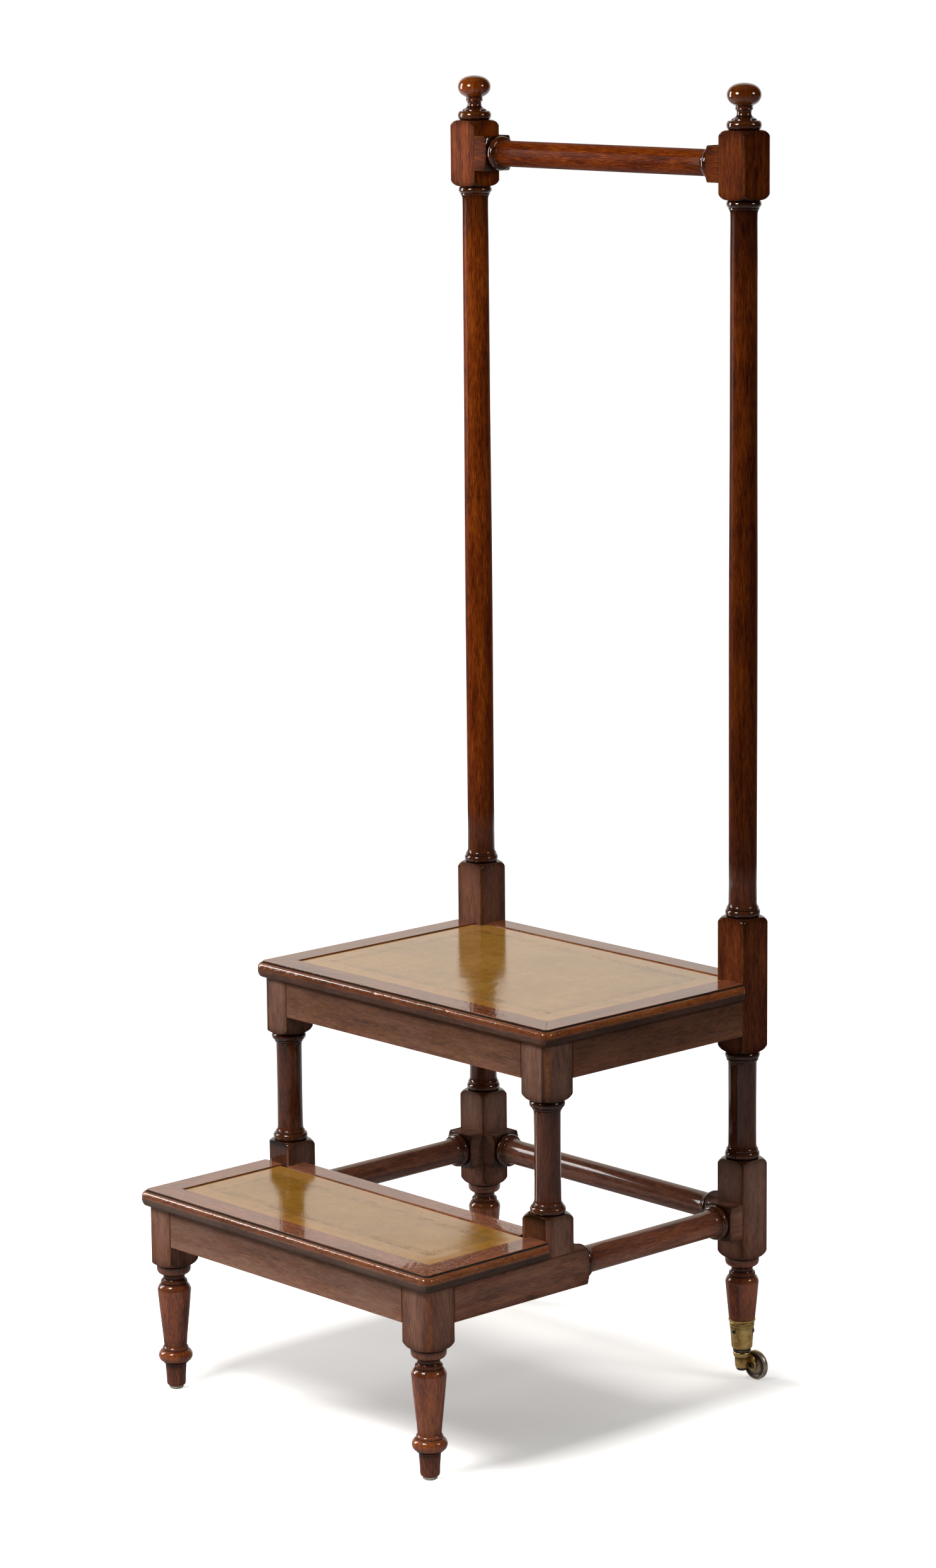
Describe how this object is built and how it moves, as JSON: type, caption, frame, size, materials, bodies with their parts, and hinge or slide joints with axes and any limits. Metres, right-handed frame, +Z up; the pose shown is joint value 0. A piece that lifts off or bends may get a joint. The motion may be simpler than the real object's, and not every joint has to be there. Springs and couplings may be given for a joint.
{
  "type": "library steps",
  "caption": "Mahogany library steps with leather-topped treads on turned legs, tall turned rear posts joined by a rail, and brass castors.",
  "frame": {"origin": "bottom centre of the bounding box, on the floor", "axes": "+Z up, -Y the front where the lower tread is, +X to the right for someone in front who looks along +Y"},
  "size_m": [0.491, 0.5352, 1.4829],
  "materials": {
    "mahogany": "polished, dark red-brown",
    "tread_leather": "worn olive-tan, glazed",
    "castor_brass": "aged",
    "castor_steel": "dark, worn",
    "glide": "pale plated steel, worn"
  },
  "bodies": {
    "steps": {"castor_cup_left": "castor_brass", "castor_cup_right": "castor_brass", "castor_pin_left": "castor_steel", "castor_pin_right": "castor_steel", "castor_screw_left_1": "castor_steel", "castor_screw_left_2": "castor_steel", "castor_screw_left_3": "castor_steel", "castor_screw_right_1": "castor_steel", "castor_screw_right_2": "castor_steel", "castor_screw_right_3": "castor_steel", "castor_washer_left": "castor_steel", "castor_washer_right": "castor_steel", "front_glide_left": "glide", "front_glide_right": "glide", "front_leg_left": "mahogany", "front_leg_right": "mahogany", "lower_apron_back": "mahogany", "lower_apron_front": "mahogany", "lower_border_back": "mahogany", "lower_border_front": "mahogany", "lower_border_left": "mahogany", "lower_border_right": "mahogany", "lower_glue_block_back_left": "mahogany", "lower_glue_block_back_right": "mahogany", "lower_glue_block_front_left": "mahogany", "lower_glue_block_front_right": "mahogany", "lower_leather": "tread_leather", "lower_panel": "mahogany", "mid_post_left": "mahogany", "mid_post_right": "mahogany", "rear_post_left": "mahogany", "rear_post_right": "mahogany", "rear_stretcher": "mahogany", "side_rail_left": "mahogany", "side_rail_right": "mahogany", "top_rail": "mahogany", "upper_apron_back": "mahogany", "upper_apron_front": "mahogany", "upper_apron_left": "mahogany", "upper_apron_right": "mahogany", "upper_border_back": "mahogany", "upper_border_front": "mahogany", "upper_border_left": "mahogany", "upper_border_right": "mahogany", "upper_glue_block_back_left": "mahogany", "upper_glue_block_back_right": "mahogany", "upper_glue_block_front_left": "mahogany", "upper_glue_block_front_right": "mahogany", "upper_leather": "tread_leather", "upper_panel": "mahogany"},
    "castor_horn_left": {"castor_horn_left": "castor_brass", "castor_axle_left": "castor_steel"},
    "castor_wheel_left": {"castor_wheel_left": "castor_brass"},
    "castor_horn_right": {"castor_horn_right": "castor_brass", "castor_axle_right": "castor_steel"},
    "castor_wheel_right": {"castor_wheel_right": "castor_brass"}
  },
  "joints": [
    {"name": "castor_swivel_left", "type": "hinge", "parent": "steps", "child": "castor_horn_left", "pos_m": [-0.2175, 0.24738, 0.0344], "axis": [0, 0, 1], "continuous": true},
    {"name": "castor_roll_left", "type": "hinge", "parent": "castor_horn_left", "child": "castor_wheel_left", "pos_m": [-0.2075, 0.26017, 0.0172], "axis": [0, 1, 0], "continuous": true},
    {"name": "castor_swivel_right", "type": "hinge", "parent": "steps", "child": "castor_horn_right", "pos_m": [0.2175, 0.24738, 0.0344], "axis": [0, 0, 1], "continuous": true},
    {"name": "castor_roll_right", "type": "hinge", "parent": "castor_horn_right", "child": "castor_wheel_right", "pos_m": [0.2275, 0.26017, 0.0172], "axis": [0, 1, 0], "continuous": true}
  ]
}
